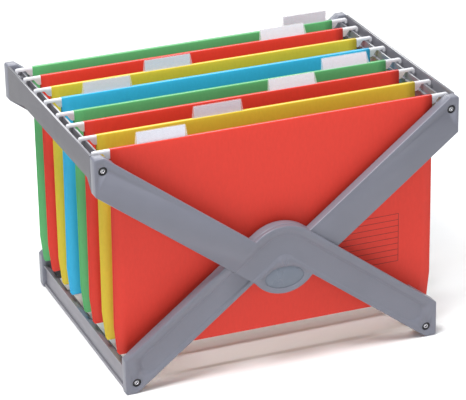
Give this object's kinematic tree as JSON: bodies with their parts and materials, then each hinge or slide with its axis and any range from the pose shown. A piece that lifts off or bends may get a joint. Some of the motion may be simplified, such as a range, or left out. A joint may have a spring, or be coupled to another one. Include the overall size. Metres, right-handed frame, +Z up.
{
  "type": "hanging file rack",
  "caption": "Folding X-frame rack in grey plastic whose two top rails carry hooked hanging files with white label tabs.",
  "frame": {"origin": "middle of the bounding box's bottom face, on the floor", "axes": "+X across the rack along its longest side, +Y from the front crossing arms to the rear ones, +Z up"},
  "size_m": [0.414, 0.312, 0.2905],
  "materials": {
    "rack_plastic": "moulded, satin gloss",
    "pin_plastic": "moulded, matt",
    "clip_steel": "bright",
    "screw_steel": "black oxide, cross head",
    "badge_plastic": "smooth blank oval",
    "card_red": "dyed card, matt",
    "card_yellow": "dyed card, matt",
    "card_green": "dyed card, matt",
    "card_blue": "dyed card, matt",
    "bar_plastic": "white moulded bar",
    "tab_clear": "clear, glossy",
    "label_paper": "white paper insert"
  },
  "bodies": {
    "outer_frame": {"front_outer_arm": "rack_plastic", "rear_outer_arm": "rack_plastic", "left_top_rail": "rack_plastic", "right_bottom_rail": "rack_plastic", "outer_frame_screws": "screw_steel", "front_pivot_pin": "pin_plastic", "rear_pivot_pin": "pin_plastic", "front_pivot_clip": "clip_steel", "rear_pivot_clip": "clip_steel", "front_badge": "badge_plastic", "rear_badge": "badge_plastic"},
    "inner_frame": {"front_inner_arm": "rack_plastic", "rear_inner_arm": "rack_plastic", "right_top_rail": "rack_plastic", "left_bottom_rail": "rack_plastic", "inner_frame_screws": "screw_steel"},
    "file_1": {"file_1_card": "card_red", "file_1_bars": "bar_plastic", "file_1_tab": "tab_clear", "file_1_label": "label_paper"},
    "file_2": {"file_2_card": "card_yellow", "file_2_bars": "bar_plastic", "file_2_tab": "tab_clear", "file_2_label": "label_paper"},
    "file_3": {"file_3_card": "card_red", "file_3_bars": "bar_plastic", "file_3_tab": "tab_clear", "file_3_label": "label_paper"},
    "file_4": {"file_4_card": "card_green", "file_4_bars": "bar_plastic", "file_4_tab": "tab_clear", "file_4_label": "label_paper"},
    "file_5": {"file_5_card": "card_blue", "file_5_bars": "bar_plastic", "file_5_tab": "tab_clear", "file_5_label": "label_paper"},
    "file_6": {"file_6_card": "card_yellow", "file_6_bars": "bar_plastic", "file_6_tab": "tab_clear", "file_6_label": "label_paper"},
    "file_7": {"file_7_card": "card_red", "file_7_bars": "bar_plastic", "file_7_tab": "tab_clear", "file_7_label": "label_paper"},
    "file_8": {"file_8_card": "card_green", "file_8_bars": "bar_plastic", "file_8_tab": "tab_clear", "file_8_label": "label_paper"}
  },
  "joints": [
    {"name": "scissor_fold", "type": "hinge", "parent": "outer_frame", "child": "inner_frame", "pos_m": [0, 0, 0.128], "axis": [0, 1, 0], "range_deg": [0, 45]},
    {"name": "file_1_lift", "type": "slide", "parent": "outer_frame", "child": "file_1", "axis": [0, 0, 1], "range_m": [0, 0.27]},
    {"name": "file_2_lift", "type": "slide", "parent": "outer_frame", "child": "file_2", "axis": [0, 0, 1], "range_m": [0, 0.27]},
    {"name": "file_3_lift", "type": "slide", "parent": "outer_frame", "child": "file_3", "axis": [0, 0, 1], "range_m": [0, 0.27]},
    {"name": "file_4_lift", "type": "slide", "parent": "outer_frame", "child": "file_4", "axis": [0, 0, 1], "range_m": [0, 0.27]},
    {"name": "file_5_lift", "type": "slide", "parent": "outer_frame", "child": "file_5", "axis": [0, 0, 1], "range_m": [0, 0.27]},
    {"name": "file_6_lift", "type": "slide", "parent": "outer_frame", "child": "file_6", "axis": [0, 0, 1], "range_m": [0, 0.27]},
    {"name": "file_7_lift", "type": "slide", "parent": "outer_frame", "child": "file_7", "axis": [0, 0, 1], "range_m": [0, 0.27]},
    {"name": "file_8_lift", "type": "slide", "parent": "outer_frame", "child": "file_8", "axis": [0, 0, 1], "range_m": [0, 0.27]}
  ]
}
